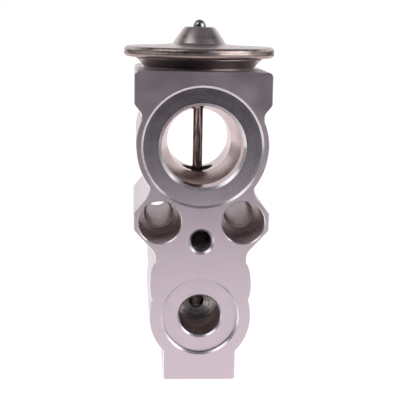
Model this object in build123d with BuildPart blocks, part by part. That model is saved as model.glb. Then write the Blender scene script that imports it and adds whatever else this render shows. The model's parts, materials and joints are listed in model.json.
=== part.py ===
"""Block-type thermostatic expansion valve for a vehicle air conditioner.

Frame: the origin is on the rod axis, at the middle of the foot face.  X runs across the
block, Y runs from the front face to the back face and Z runs up towards the diaphragm head.
All sizes are millimetres.  The valve is shown closed.
"""

import os
from math import sqrt

from build123d import *

os.makedirs("parts", exist_ok=True)

# ---------------------------------------------------------------- driving dimensions

# Body block: an aluminium section, sawn off at its depth.  Its outline is a chain of bosses
# and necks, and each step is measured from the one below it.
body_depth = 44.0
body_width = 35.0
outline_chamfer = 0.2
lobe_corner_radius = 0.8

foot_width = 19.0
foot_corner_radius = 0.8
inlet_height = 17.2               # axis of the front liquid port
port_step = 8.4                   # from there up to the axis of the rear liquid port
liquid_boss_radius = 13.3
shin_inset = 1.4                  # neck over the liquid bosses, inside their radius
shin_length = 2.56
shin_radius = 2.5

lobe_rise = 6.1                   # slanted side under the screw lobes
lobe_flat = 4.4                   # straight side beside the screw holes
waist_rise = 4.9                  # slanted side over the screw lobes
waist_inset = 3.5                 # waist under the suction boss, inside its radius
waist_length = 1.87
waist_radius = 3.0

suction_boss_inset = 0.5          # the boss stands inside the full width
neck_inset = 1.35                 # neck over the suction boss, inside its radius
neck_length = 1.66
neck_radius = 2.0
shoulder_rise = 2.3               # slanted side under the head end
head_flat = 8.5                   # straight side under the top face
head_corner_radius = 1.2

# Suction ports and the throat that joins them
front_suction_radius = 10.5
rear_suction_radius = 11.2
suction_lead_in = 0.75
front_suction_length = 6.5
rear_suction_length = 13.0
throat_radius = 8.6
throat_start = 16.0               # from the front face
throat_end = 28.0
suction_face_wall = 1.3           # boss left around the shallow turned face
suction_face_depth = 0.6
suction_face_lead = 0.55

# Liquid ports
liquid_radius = 5.4
liquid_lead_in = 0.45
liquid_length = 15.3
liquid_point_depth = 0.8
passage_radius = 2.05
liquid_face_wall = 3.1            # boss left around the turned face
liquid_face_depth = 1.1
liquid_face_lead = 0.5

# Clamp screw holes and the tapped hole between them
screw_over_lobe = 2.1             # screw axis over the lower end of the straight side
screw_wall = 1.25                 # lobe left beside the screw head
screw_hole_radius = 3.5
screw_head_radius = 5.5
screw_head_depth = 13.1
screw_lead_in = 0.25
screw_floor_lead = 0.5            # where the hole leaves the floor of the screw head's seat
tapped_drop = 5.0                 # tapped hole under the screw axis
tapped_radius = 2.8
tapped_lead_in = 0.6
tapped_depth = 13.0
tapped_point_depth = 1.6

# Clearances
running_clearance = 0.05
thread_clearance = 0.06
seat_clearance = 0.03
press_clearance = 0.02
ring_clearance = 0.045
spring_clearance = 0.2
spigot_clearance = 0.15

# Superheat spring and adjusting screw; the bores around them follow from the spring
spring_wire_radius = 0.5
spring_mean_radius = 2.5
spring_turns = 4.5
adjuster_bottom = 1.6
adjuster_thread_length = 4.6
adjuster_spigot_length = 4.0
adjuster_room = 1.2               # free travel over the screw
adjuster_edge = 0.5
adjuster_lead_in = 0.6
adjuster_thread_step = 0.7        # thread over the seal bore, in radius
adjuster_pocket_wall = 0.85
adjuster_pocket_depth = 3.6
adjuster_groove_depth = 1.25
adjuster_groove_play = 0.15
adjuster_groove_to_top = 0.3
hex_across_flats = 5.0
hex_depth = 3.4

# Valve chamber, seat and gallery
chamber_step = 0.7                # chamber inside the seal bore, in radius
chamber_over_inlet = 3.8
seat_outer_radius = 3.2
orifice_radius = 2.0
orifice_length = 1.2
gallery_radius = 2.6
gallery_over_outlet = 4.9

# Rod, its seal and the seal pocket under the suction throat
rod_radius = 1.35
rod_tip_chamfer = 0.25
seal_pocket_radius = 3.2
seal_pocket_drop = 3.85           # pocket floor under the throat
retainer_step = 1.0               # retainer bore over the seal pocket, in radius
retainer_thickness = 0.5
retainer_slots = 6
retainer_slot_width = 0.6
retainer_slot_length = 1.3

# Ball, ball holder and its damping spring
ball_radius = 3.0
valve_lift = 0.8
holder_inset = 0.5                # ball holder inside the chamber, in radius
holder_top_over_ball_bottom = 0.8
holder_flange_thickness = 2.1
holder_spigot_length = 2.4
damper_thickness = 0.35
damper_fingers = 4
damper_finger_width = 1.6
damper_finger_height = 3.6

# Bore under the head
head_bore_radius = 9.6
head_bore_depth = 5.2
gasket_recess_width = 1.7
gasket_recess_depth = 1.3
head_bore_lead_in = 0.4
sensing_hole_radius = 2.6

# Diaphragm head
rim_radius = 20.3
rim_edge_radius = 1.05
flange_thickness = 1.3
flange_height = 2.9               # underside of the lower flange, over the block
cup_foot_radius = 14.9
cup_foot_height = 0.3
cup_top_radius = 17.1
cup_top_height = 2.5
cup_floor_thickness = 1.5
cup_inner_radius = 13.6
cup_mouth_radius = 15.4
cup_mouth_depth = 0.8
head_neck_length = 4.4
head_neck_bore_radius = 5.0
head_neck_edge = 0.5
diaphragm_thickness = 0.2
diaphragm_edge_inset = 0.15
wave_inner_radius = 8.6
wave_width = 1.4
wave_height = 0.35
wave_count = 2
cone_outer_radius = 14.8
cone_rise = 0.7
cap_base_radius = 7.2
cap_base_fillet = 0.6
cap_top_radius = 3.95
cap_bulge = 0.15                  # the cap's side bows out by this much
cap_height = 4.5                  # above the top of the cone
cap_shoulder_radius = 1.0
cover_wall = 0.95
plug_radius = 1.7
plug_sink = 1.45                  # part of the plug ball under the top of the cap
charge_hole_radius = 0.9
plate_side_gap = 1.6              # stop plate inside the cup, in radius
plate_thickness = 1.2
plate_gap = 0.1                   # under the diaphragm
plate_boss_radius = 3.6
plate_boss_length = 3.5
rod_socket_depth = 2.2

# ---------------------------------------------------------------- derived places

# Outline, from the foot up
half_depth = body_depth / 2
half_width = body_width / 2
outlet_height = inlet_height + port_step
shin_half_width = liquid_boss_radius - shin_inset
shin_start = outlet_height + sqrt(liquid_boss_radius**2 - shin_half_width**2)
shin_height = shin_start + shin_length
lobe_bottom_height = shin_height + lobe_rise
lobe_top_height = lobe_bottom_height + lobe_flat
waist_height = lobe_top_height + waist_rise
suction_boss_radius = half_width - suction_boss_inset
waist_half_width = suction_boss_radius - waist_inset
waist_end = waist_height + waist_length
suction_height = waist_end + sqrt(suction_boss_radius**2 - waist_half_width**2)
neck_half_width = suction_boss_radius - neck_inset
neck_start = suction_height + sqrt(suction_boss_radius**2 - neck_half_width**2)
neck_height = neck_start + neck_length
shoulder_height = neck_height + shoulder_rise
body_height = shoulder_height + head_flat

# Ports and holes in the faces
suction_face_radius = suction_boss_radius - suction_face_wall
throat_floor = suction_height - throat_radius
liquid_face_radius = liquid_boss_radius - liquid_face_wall
screw_height = lobe_bottom_height + screw_over_lobe
screw_spacing = body_width - 2 * (screw_head_radius + screw_wall)
tapped_height = screw_height - tapped_drop

# Adjusting screw and its bores, from the spring outwards
spring_outer_radius = spring_mean_radius + spring_wire_radius
adjuster_pocket_radius = spring_outer_radius + spring_clearance
adjuster_groove_radius = adjuster_pocket_radius + adjuster_pocket_wall
adjuster_seal_bore_radius = adjuster_groove_radius + adjuster_groove_depth
adjuster_thread_radius = adjuster_seal_bore_radius + adjuster_thread_step
adjuster_groove_width = adjuster_groove_depth + adjuster_groove_play
adjuster_shoulder = adjuster_bottom + adjuster_thread_length
adjuster_top = adjuster_shoulder + adjuster_spigot_length
adjuster_thread_top = adjuster_shoulder + adjuster_room
adjuster_seal_bore_top = adjuster_top + adjuster_room
adjuster_pocket_floor = adjuster_top - adjuster_pocket_depth
groove_top = adjuster_top - adjuster_groove_to_top
groove_middle = groove_top - adjuster_groove_width / 2

# Chamber, seat and gallery
chamber_radius = adjuster_seal_bore_radius - chamber_step
chamber_top = inlet_height + chamber_over_inlet
seat_drop = seat_outer_radius - orifice_radius
orifice_bottom = chamber_top + seat_drop
gallery_floor = orifice_bottom + orifice_length
gallery_top = outlet_height + gallery_over_outlet

# Rod guide and rod seal
guide_radius = rod_radius + running_clearance
seal_section_radius = (seal_pocket_radius - rod_radius) / 2 - ring_clearance
seal_pocket_depth = 2 * (seal_section_radius + press_clearance)
seal_pocket_floor = throat_floor - seal_pocket_drop
seal_pocket_top = seal_pocket_floor + seal_pocket_depth
retainer_bore_radius = seal_pocket_radius + retainer_step

# A 45 degree seat: the ball centre lies on the axis, one radius from the cone
ball_height = orifice_bottom + orifice_radius - sqrt(2) * (ball_radius + seat_clearance)
ball_bottom = ball_height - ball_radius
ball_top = ball_height + ball_radius
holder_radius = chamber_radius - holder_inset
holder_spigot_radius = spring_mean_radius - spring_wire_radius - spigot_clearance
holder_top = ball_bottom + holder_top_over_ball_bottom
holder_underside = holder_top - holder_flange_thickness
damper_underside = holder_underside - damper_thickness

# Head, from the top face of the block up
gasket_recess_radius = head_bore_radius + gasket_recess_width
gasket_section_radius = gasket_recess_depth / 2 - seat_clearance
head_neck_radius = head_bore_radius - thread_clearance
lower_flange_bottom = body_height + flange_height
diaphragm_bottom = lower_flange_bottom + flange_thickness
diaphragm_top = diaphragm_bottom + diaphragm_thickness
rim_top = diaphragm_top + flange_thickness
cone_top = rim_top + cone_rise
cap_top = cone_top + cap_height
plug_height = cap_top - plug_sink + plug_radius
plate_radius = cup_inner_radius - plate_side_gap
plate_top = diaphragm_bottom - plate_gap
plate_underside = plate_top - plate_thickness
plate_boss_bottom = plate_underside - plate_boss_length
rod_top = plate_boss_bottom + rod_socket_depth
tiny = 0.001


def turned_cut(origin, outward, side, corners):
    """Cut a stepped round hole; corners are (radius, depth) pairs from the mouth inwards."""
    axis_plane = Plane(origin=origin, x_dir=(1, 0, 0), z_dir=side)
    with BuildSketch(axis_plane) as profile:
        with BuildLine():
            mouth_radius = corners[0][0]
            last_radius, last_depth = corners[-1]
            path = [(0, 1), (mouth_radius, 1)]
            path += [(radius, -depth) for radius, depth in corners]
            if last_radius > 0:
                path += [(0, -last_depth)]
            Polyline(*path, close=True)
        make_face()
    revolve(profile.sketch, axis=Axis(origin, outward), mode=Mode.SUBTRACT)


def cut_from_front(x, height, corners):
    turned_cut((x, -half_depth, height), (0, -1, 0), (0, 0, -1), corners)


def cut_from_back(x, height, corners):
    turned_cut((x, half_depth, height), (0, 1, 0), (0, 0, 1), corners)


def suction_corners(bore_radius, bore_length, cone_end):
    """Turned face, lead-in, bore and cone of one suction port, down to the throat."""
    floor = suction_face_depth
    return [
        (suction_face_radius, 0),
        (suction_face_radius - suction_face_lead, floor),
        (bore_radius + suction_lead_in, floor),
        (bore_radius, floor + suction_lead_in),
        (bore_radius, bore_length),
        (throat_radius, cone_end),
    ]


def liquid_corners():
    """Turned face, lead-in, bore, drill point and passage of one liquid port."""
    floor = liquid_face_depth
    return [
        (liquid_face_radius, 0),
        (liquid_face_radius - liquid_face_lead, liquid_face_lead),
        (liquid_face_radius - liquid_face_lead, floor),
        (liquid_radius + liquid_lead_in, floor),
        (liquid_radius, floor + liquid_lead_in),
        (liquid_radius, liquid_length),
        (passage_radius, liquid_length + liquid_point_depth),
        (passage_radius, half_depth),
    ]


def corner_pair(sketch, reach, height):
    """The two outline corners, left and right, at one half width and height."""
    return [
        corner
        for corner in sketch.vertices()
        if abs(abs(corner.X) - reach) < tiny and abs(corner.Y - height) < tiny
    ]


# ---------------------------------------------------------------- valve body

with BuildPart() as valve_body:
    with BuildSketch(Plane.XZ) as outline:
        with BuildLine():
            Polyline(
                (0, 0),
                (foot_width / 2, 0),
                (foot_width / 2, inlet_height),
                (shin_half_width, inlet_height),
                (shin_half_width, shin_height),
                (half_width, lobe_bottom_height),
                (half_width, lobe_top_height),
                (waist_half_width, waist_height),
                (waist_half_width, suction_height),
                (neck_half_width, suction_height),
                (neck_half_width, neck_height),
                (half_width, shoulder_height),
                (half_width, body_height),
                (0, body_height),
                close=True,
            )
        make_face()
        mirror(about=Plane.YZ)
        with Locations((0, inlet_height), (0, outlet_height)):
            Circle(liquid_boss_radius)
        with Locations((0, suction_height)):
            Circle(suction_boss_radius)
        fillet(corner_pair(outline, half_width, body_height), head_corner_radius)
        fillet(corner_pair(outline, half_width, shoulder_height), lobe_corner_radius)
        fillet(corner_pair(outline, neck_half_width, neck_height), neck_radius)
        fillet(corner_pair(outline, waist_half_width, waist_height), waist_radius)
        fillet(corner_pair(outline, half_width, lobe_top_height), lobe_corner_radius)
        fillet(corner_pair(outline, half_width, lobe_bottom_height), lobe_corner_radius)
        fillet(corner_pair(outline, shin_half_width, shin_height), shin_radius)
        fillet(corner_pair(outline, foot_width / 2, 0), foot_corner_radius)
    extrude(amount=half_depth, both=True)
    end_faces = valve_body.faces().filter_by(Axis.Y).group_by(Axis.Y)
    chamfer(end_faces[0].edges() + end_faces[-1].edges(), outline_chamfer)

    front_suction = suction_corners(front_suction_radius, front_suction_length, throat_start)
    cut_from_front(0, suction_height, front_suction + [(throat_radius, throat_end)])
    rear_cone_end = body_depth - throat_end
    rear_suction = suction_corners(rear_suction_radius, rear_suction_length, rear_cone_end)
    cut_from_back(0, suction_height, rear_suction)
    cut_from_front(0, inlet_height, liquid_corners())
    cut_from_back(0, outlet_height, liquid_corners())

    for screw_x in (-screw_spacing / 2, screw_spacing / 2):
        cut_from_front(
            screw_x,
            screw_height,
            [
                (screw_head_radius + screw_lead_in, 0),
                (screw_head_radius, screw_lead_in),
                (screw_head_radius, screw_head_depth),
                (screw_hole_radius + screw_floor_lead, screw_head_depth),
                (screw_hole_radius, screw_head_depth + screw_floor_lead),
                (screw_hole_radius, body_depth - screw_lead_in),
                (screw_hole_radius + screw_lead_in, body_depth),
            ],
        )
    cut_from_front(
        0,
        tapped_height,
        [
            (tapped_radius + tapped_lead_in, 0),
            (tapped_radius, tapped_lead_in),
            (tapped_radius, tapped_depth),
            (0, tapped_depth + tapped_point_depth),
        ],
    )

    # Adjuster bore, valve chamber, seat, gallery, rod guide and rod seal pocket
    turned_cut(
        (0, 0, 0),
        (0, 0, -1),
        (0, 1, 0),
        [
            (adjuster_thread_radius + adjuster_lead_in, 0),
            (adjuster_thread_radius, adjuster_lead_in),
            (adjuster_thread_radius, adjuster_thread_top),
            (adjuster_seal_bore_radius, adjuster_thread_top),
            (adjuster_seal_bore_radius, adjuster_seal_bore_top),
            (chamber_radius, adjuster_seal_bore_top),
            (chamber_radius, chamber_top),
            (seat_outer_radius, chamber_top),
            (orifice_radius, orifice_bottom),
            (orifice_radius, gallery_floor),
            (gallery_radius, gallery_floor),
            (gallery_radius, gallery_top),
            (guide_radius, gallery_top),
            (guide_radius, seal_pocket_floor),
            (seal_pocket_radius, seal_pocket_floor),
            (seal_pocket_radius, seal_pocket_top),
            (retainer_bore_radius, seal_pocket_top),
            (retainer_bore_radius, suction_height),
        ],
    )
    # Head bore with its gasket recess, and the hole that opens it to the suction throat
    turned_cut(
        (0, 0, body_height),
        (0, 0, 1),
        (0, -1, 0),
        [
            (gasket_recess_radius, 0),
            (gasket_recess_radius, gasket_recess_depth),
            (head_bore_radius + head_bore_lead_in, gasket_recess_depth),
            (head_bore_radius, gasket_recess_depth + head_bore_lead_in),
            (head_bore_radius, head_bore_depth),
            (sensing_hole_radius, head_bore_depth),
            (sensing_hole_radius, body_height - suction_height),
        ],
    )
valve_body.part.label = "valve_body"
export_step(valve_body.part, "parts/valve_body.step")

# ---------------------------------------------------------------- diaphragm head

with BuildPart() as head_lower_cover:
    with BuildSketch(Plane.XZ) as lower_section:
        neck_bottom = body_height - head_neck_length
        cup_floor = body_height + cup_floor_thickness
        with BuildLine():
            Polyline(
                (head_neck_bore_radius, neck_bottom),
                (head_neck_radius - head_neck_edge, neck_bottom),
                (head_neck_radius, neck_bottom + head_neck_edge),
                (head_neck_radius, body_height),
                (cup_foot_radius, body_height),
                (cup_foot_radius, body_height + cup_foot_height),
                (cup_top_radius, body_height + cup_top_height),
                (cup_top_radius, lower_flange_bottom),
                (rim_radius, lower_flange_bottom),
                (rim_radius, diaphragm_bottom),
                (cup_mouth_radius, diaphragm_bottom),
                (cup_inner_radius, diaphragm_bottom - cup_mouth_depth),
                (cup_inner_radius, cup_floor),
                (head_neck_bore_radius, cup_floor),
                close=True,
            )
        make_face()
        rim_corner = lower_section.vertices().group_by(Axis.X)[-1].sort_by(Axis.Y)[0]
        fillet(rim_corner, rim_edge_radius)
    revolve(axis=Axis.Z)
head_lower_cover.part.label = "head_lower_cover"
export_step(head_lower_cover.part, "parts/head_lower_cover.step")

with BuildPart() as head_upper_cover:
    with BuildSketch(Plane.XZ) as upper_section:
        inner_cone_radius = cap_base_radius - cover_wall
        with BuildLine() as outer_line:
            Polyline(
                (cap_top_radius, cap_top),
                (charge_hole_radius, cap_top),
                (charge_hole_radius, cap_top - cover_wall),
                (cap_top_radius - cover_wall, cap_top - cover_wall),
                (inner_cone_radius, cone_top - cover_wall / 2),
                (inner_cone_radius, cone_top - cover_wall),
                (cone_outer_radius, rim_top - cover_wall),
                (cup_mouth_radius, diaphragm_top),
                (rim_radius, diaphragm_top),
                (rim_radius, rim_top),
                (cone_outer_radius, rim_top),
                (cap_base_radius, cone_top),
            )
            SagittaArc((cap_base_radius, cone_top), (cap_top_radius, cap_top), -cap_bulge)
        make_face()
        section_corners = upper_section.vertices()
        rim_corner = section_corners.group_by(Axis.X)[-1].sort_by(Axis.Y)[-1]
        fillet(rim_corner, rim_edge_radius)
        base_corner = corner_pair(upper_section, cap_base_radius, cone_top)
        fillet(base_corner, cap_base_fillet)
        shoulder_corner = corner_pair(upper_section, cap_top_radius, cap_top)
        fillet(shoulder_corner, cap_shoulder_radius)
    revolve(axis=Axis.Z)
    with Locations((0, 0, plug_height)):
        Sphere(plug_radius + press_clearance, mode=Mode.SUBTRACT)
head_upper_cover.part.label = "head_upper_cover"
export_step(head_upper_cover.part, "parts/head_upper_cover.step")

with BuildPart() as charge_plug:
    with Locations((0, 0, plug_height)):
        Sphere(plug_radius)
charge_plug.part.label = "charge_plug"
export_step(charge_plug.part, "parts/charge_plug.step")

with BuildPart() as diaphragm:
    with BuildSketch(Plane.XZ) as membrane_section:
        membrane_radius = rim_radius - diaphragm_edge_inset
        with BuildLine() as membrane_line:
            Line((0, diaphragm_bottom), (wave_inner_radius, diaphragm_bottom))
            for wave in range(wave_count):
                wave_start = wave_inner_radius + wave * 2 * wave_width
                ThreePointArc(
                    (wave_start, diaphragm_bottom),
                    (wave_start + wave_width / 2, diaphragm_bottom + wave_height),
                    (wave_start + wave_width, diaphragm_bottom),
                )
                Line(
                    (wave_start + wave_width, diaphragm_bottom),
                    (wave_start + 2 * wave_width, diaphragm_bottom),
                )
            wave_end = wave_inner_radius + wave_count * 2 * wave_width
            Line((wave_end, diaphragm_bottom), (membrane_radius, diaphragm_bottom))
            Line((membrane_radius, diaphragm_bottom), (membrane_radius, diaphragm_top))
            Line((membrane_radius, diaphragm_top), (wave_end, diaphragm_top))
            for wave in range(wave_count):
                wave_start = wave_inner_radius + wave * 2 * wave_width
                ThreePointArc(
                    (wave_start, diaphragm_top),
                    (wave_start + wave_width / 2, diaphragm_top + wave_height),
                    (wave_start + wave_width, diaphragm_top),
                )
                Line(
                    (wave_start + wave_width, diaphragm_top),
                    (wave_start + 2 * wave_width, diaphragm_top),
                )
            Line((wave_inner_radius, diaphragm_top), (0, diaphragm_top))
            Line((0, diaphragm_top), (0, diaphragm_bottom))
        make_face()
    revolve(axis=Axis.Z)
diaphragm.part.label = "diaphragm"
export_step(diaphragm.part, "parts/diaphragm.step")

with BuildPart() as head_gasket:
    with BuildSketch(Plane.XZ):
        gasket_middle_radius = (head_bore_radius + gasket_recess_radius) / 2
        gasket_middle_height = body_height - gasket_recess_depth / 2
        with Locations((gasket_middle_radius, gasket_middle_height)):
            Circle(gasket_section_radius)
    revolve(axis=Axis.Z)
head_gasket.part.label = "head_gasket"
export_step(head_gasket.part, "parts/head_gasket.step")

with BuildPart() as stop_plate:
    with BuildSketch(Plane.XZ):
        with BuildLine():
            Polyline(
                (0, rod_top),
                (rod_radius + press_clearance, rod_top),
                (rod_radius + press_clearance, plate_boss_bottom),
                (plate_boss_radius, plate_boss_bottom),
                (plate_boss_radius, plate_underside),
                (plate_radius, plate_underside),
                (plate_radius, plate_top),
                (0, plate_top),
                close=True,
            )
        make_face()
    revolve(axis=Axis.Z)
    plate_rim = stop_plate.edges().filter_by(GeomType.CIRCLE).group_by(SortBy.RADIUS)[-1]
    chamfer(plate_rim, plate_thickness / 4)
stop_plate.part.label = "stop_plate"
export_step(stop_plate.part, "parts/stop_plate.step")

# ---------------------------------------------------------------- rod and rod seal

with BuildPart() as actuating_rod:
    with BuildSketch(Plane.XY.offset(ball_top)):
        Circle(rod_radius)
    extrude(amount=rod_top - ball_top)
    chamfer(actuating_rod.edges().filter_by(GeomType.CIRCLE), rod_tip_chamfer)
actuating_rod.part.label = "actuating_rod"
export_step(actuating_rod.part, "parts/actuating_rod.step")

with BuildPart() as rod_seal:
    with BuildSketch(Plane.XZ):
        seal_middle_radius = (rod_radius + seal_pocket_radius) / 2
        seal_middle_height = (seal_pocket_floor + seal_pocket_top) / 2
        with Locations((seal_middle_radius, seal_middle_height)):
            Circle(seal_section_radius)
    revolve(axis=Axis.Z)
rod_seal.part.label = "rod_seal"
export_step(rod_seal.part, "parts/rod_seal.step")

with BuildPart() as seal_retainer:
    with BuildSketch(Plane.XY.offset(seal_pocket_top)):
        Circle(retainer_bore_radius - press_clearance)
        Circle(rod_radius + 2 * running_clearance, mode=Mode.SUBTRACT)
        slot_middle = retainer_bore_radius - retainer_slot_length / 2
        with PolarLocations(slot_middle, retainer_slots):
            Rectangle(retainer_slot_length, retainer_slot_width, mode=Mode.SUBTRACT)
    extrude(amount=retainer_thickness)
seal_retainer.part.label = "seal_retainer"
export_step(seal_retainer.part, "parts/seal_retainer.step")

# ---------------------------------------------------------------- ball and ball holder

with BuildPart() as valve_ball:
    with Locations((0, 0, ball_height)):
        Sphere(ball_radius)
valve_ball.part.label = "valve_ball"
export_step(valve_ball.part, "parts/valve_ball.step")

with BuildPart() as ball_holder:
    with BuildSketch(Plane.XY.offset(holder_underside)):
        Circle(holder_radius)
    extrude(amount=holder_flange_thickness)
    with BuildSketch(Plane.XY.offset(holder_underside)):
        Circle(holder_spigot_radius)
    extrude(amount=-holder_spigot_length)
    with Locations((0, 0, ball_height)):
        Sphere(ball_radius + press_clearance, mode=Mode.SUBTRACT)
ball_holder.part.label = "ball_holder"
export_step(ball_holder.part, "parts/ball_holder.step")

with BuildPart() as damper_spring:
    with BuildSketch(Plane.XY.offset(damper_underside)):
        finger_outer_radius = chamber_radius - 2 * running_clearance
        finger_inner_radius = holder_radius + running_clearance
        Circle(finger_outer_radius)
        Circle(holder_spigot_radius + running_clearance, mode=Mode.SUBTRACT)
    extrude(amount=damper_thickness)
    with BuildSketch(Plane.XY.offset(holder_underside)):
        with PolarLocations(finger_outer_radius, damper_fingers, start_angle=45):
            Rectangle(chamber_radius, damper_finger_width)
        Circle(finger_inner_radius, mode=Mode.SUBTRACT)
        Circle(finger_outer_radius, mode=Mode.INTERSECT)
    extrude(amount=damper_finger_height)
damper_spring.part.label = "damper_spring"
export_step(damper_spring.part, "parts/damper_spring.step")

# ---------------------------------------------------------------- spring and adjuster

with BuildPart() as superheat_spring:
    spring_length = damper_underside - adjuster_pocket_floor
    with BuildLine() as coil:
        Helix(
            pitch=spring_length / spring_turns,
            height=spring_length,
            radius=spring_mean_radius,
            center=(0, 0, adjuster_pocket_floor),
        )
    with BuildSketch(Plane(origin=coil.line @ 0, z_dir=coil.line % 0)):
        Circle(spring_wire_radius)
    sweep(path=coil.line, is_frenet=True)
    # Both ends are ground flat
    split(bisect_by=Plane.XY.offset(adjuster_pocket_floor), keep=Keep.TOP)
    split(bisect_by=Plane.XY.offset(damper_underside), keep=Keep.BOTTOM)
superheat_spring.part.label = "superheat_spring"
export_step(superheat_spring.part, "parts/superheat_spring.step")

with BuildPart() as adjuster_screw:
    with BuildSketch(Plane.XZ):
        screw_radius = adjuster_thread_radius - thread_clearance
        spigot_radius = adjuster_seal_bore_radius - thread_clearance
        groove_bottom = groove_top - adjuster_groove_width
        with BuildLine():
            Polyline(
                (0, adjuster_bottom),
                (screw_radius - adjuster_edge, adjuster_bottom),
                (screw_radius, adjuster_bottom + adjuster_edge),
                (screw_radius, adjuster_shoulder - adjuster_edge),
                (screw_radius - adjuster_edge, adjuster_shoulder),
                (spigot_radius, adjuster_shoulder),
                (spigot_radius, groove_bottom),
                (adjuster_groove_radius, groove_bottom),
                (adjuster_groove_radius, groove_top),
                (spigot_radius, groove_top),
                (spigot_radius, adjuster_top),
                (adjuster_pocket_radius, adjuster_top),
                (adjuster_pocket_radius, adjuster_pocket_floor),
                (0, adjuster_pocket_floor),
                close=True,
            )
        make_face()
    revolve(axis=Axis.Z)
    with BuildSketch(Plane.XY.offset(adjuster_bottom)):
        RegularPolygon(hex_across_flats / 2, 6, major_radius=False)
    extrude(amount=hex_depth, mode=Mode.SUBTRACT)
adjuster_screw.part.label = "adjuster_screw"
export_step(adjuster_screw.part, "parts/adjuster_screw.step")

with BuildPart() as adjuster_seal:
    with BuildSketch(Plane.XZ):
        ring_section = (adjuster_seal_bore_radius - adjuster_groove_radius) / 2
        with Locations((adjuster_groove_radius + ring_section, groove_middle)):
            Circle(ring_section - press_clearance)
    revolve(axis=Axis.Z)
adjuster_seal.part.label = "adjuster_seal"
export_step(adjuster_seal.part, "parts/adjuster_seal.step")
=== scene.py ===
"""Block-type expansion valve: finishes, small turned details and a plain studio."""

import json
import math

import bmesh
import bpy
from bpy.props import (
    FloatProperty,
    FloatVectorProperty,
    PointerProperty,
)
from mathutils import Matrix, Vector


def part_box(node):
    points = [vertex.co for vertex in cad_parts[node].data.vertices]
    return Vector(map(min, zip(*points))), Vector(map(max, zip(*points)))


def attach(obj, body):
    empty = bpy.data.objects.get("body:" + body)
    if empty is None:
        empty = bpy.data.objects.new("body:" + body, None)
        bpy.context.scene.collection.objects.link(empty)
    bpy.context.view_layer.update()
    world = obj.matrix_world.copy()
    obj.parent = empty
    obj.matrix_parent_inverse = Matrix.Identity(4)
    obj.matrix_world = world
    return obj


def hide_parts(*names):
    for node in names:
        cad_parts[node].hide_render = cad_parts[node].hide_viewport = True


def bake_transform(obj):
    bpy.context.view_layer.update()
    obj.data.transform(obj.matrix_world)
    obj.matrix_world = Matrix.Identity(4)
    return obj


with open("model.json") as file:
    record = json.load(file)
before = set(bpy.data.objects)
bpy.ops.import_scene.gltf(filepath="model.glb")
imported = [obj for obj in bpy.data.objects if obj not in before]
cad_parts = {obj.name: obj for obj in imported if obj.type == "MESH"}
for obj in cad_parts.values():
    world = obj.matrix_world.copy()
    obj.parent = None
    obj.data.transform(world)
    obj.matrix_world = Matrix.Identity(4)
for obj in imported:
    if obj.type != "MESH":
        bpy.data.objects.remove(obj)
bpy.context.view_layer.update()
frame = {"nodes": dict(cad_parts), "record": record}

bl_info = {
    "name": "Block Expansion Valve",
    "version": (1, 0, 0),
    "blender": (4, 5, 0),
    "location": "View3D > Sidebar > Valve",
    "description": "Dresses a block-type expansion valve and sets up its studio",
    "category": "Object",
}

MM = 0.001
NODES = frame["nodes"]
MOUNTS = {mount["name"]: mount for mount in frame["record"]["mounts"]}


def mount_point(name):
    """A mount's place in metres."""
    return Vector(MOUNTS[name]["pos_m"])


def mount_radius(name):
    """A round mount's wall radius in metres."""
    return MOUNTS[name]["dims"]["r_mm"] * MM


SUCTION = mount_point("front_suction_bore")
INLET = mount_point("front_liquid_bore")
OUTLET = mount_point("rear_liquid_bore")
TAPPED = mount_point("pipe_plate_screw")
SCREWS = mount_point("clamp_screws")
SCREW_REACH = MOUNTS["clamp_screws"]["dims"]["spacing_x_mm"] * MM / 2
BODY_LOW, BODY_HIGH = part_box("valve_body")
COVER_LOW, COVER_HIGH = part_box("head_upper_cover")

# Values of a shader's Metallic
METAL = 1.0
NOT_METAL = 0.0

# Where a material's local Z lies: up the valve's axis, or along a bore through the block
UPRIGHT = (0, 0, 0)
TOWARD_FRONT = (math.radians(90), 0, 0)
VALVE_AXIS = (0, 0, 0)

# Vertices closer than this are one
WELD_DISTANCE = 1e-7


# ------------------------------------------------------------------ settings


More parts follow.
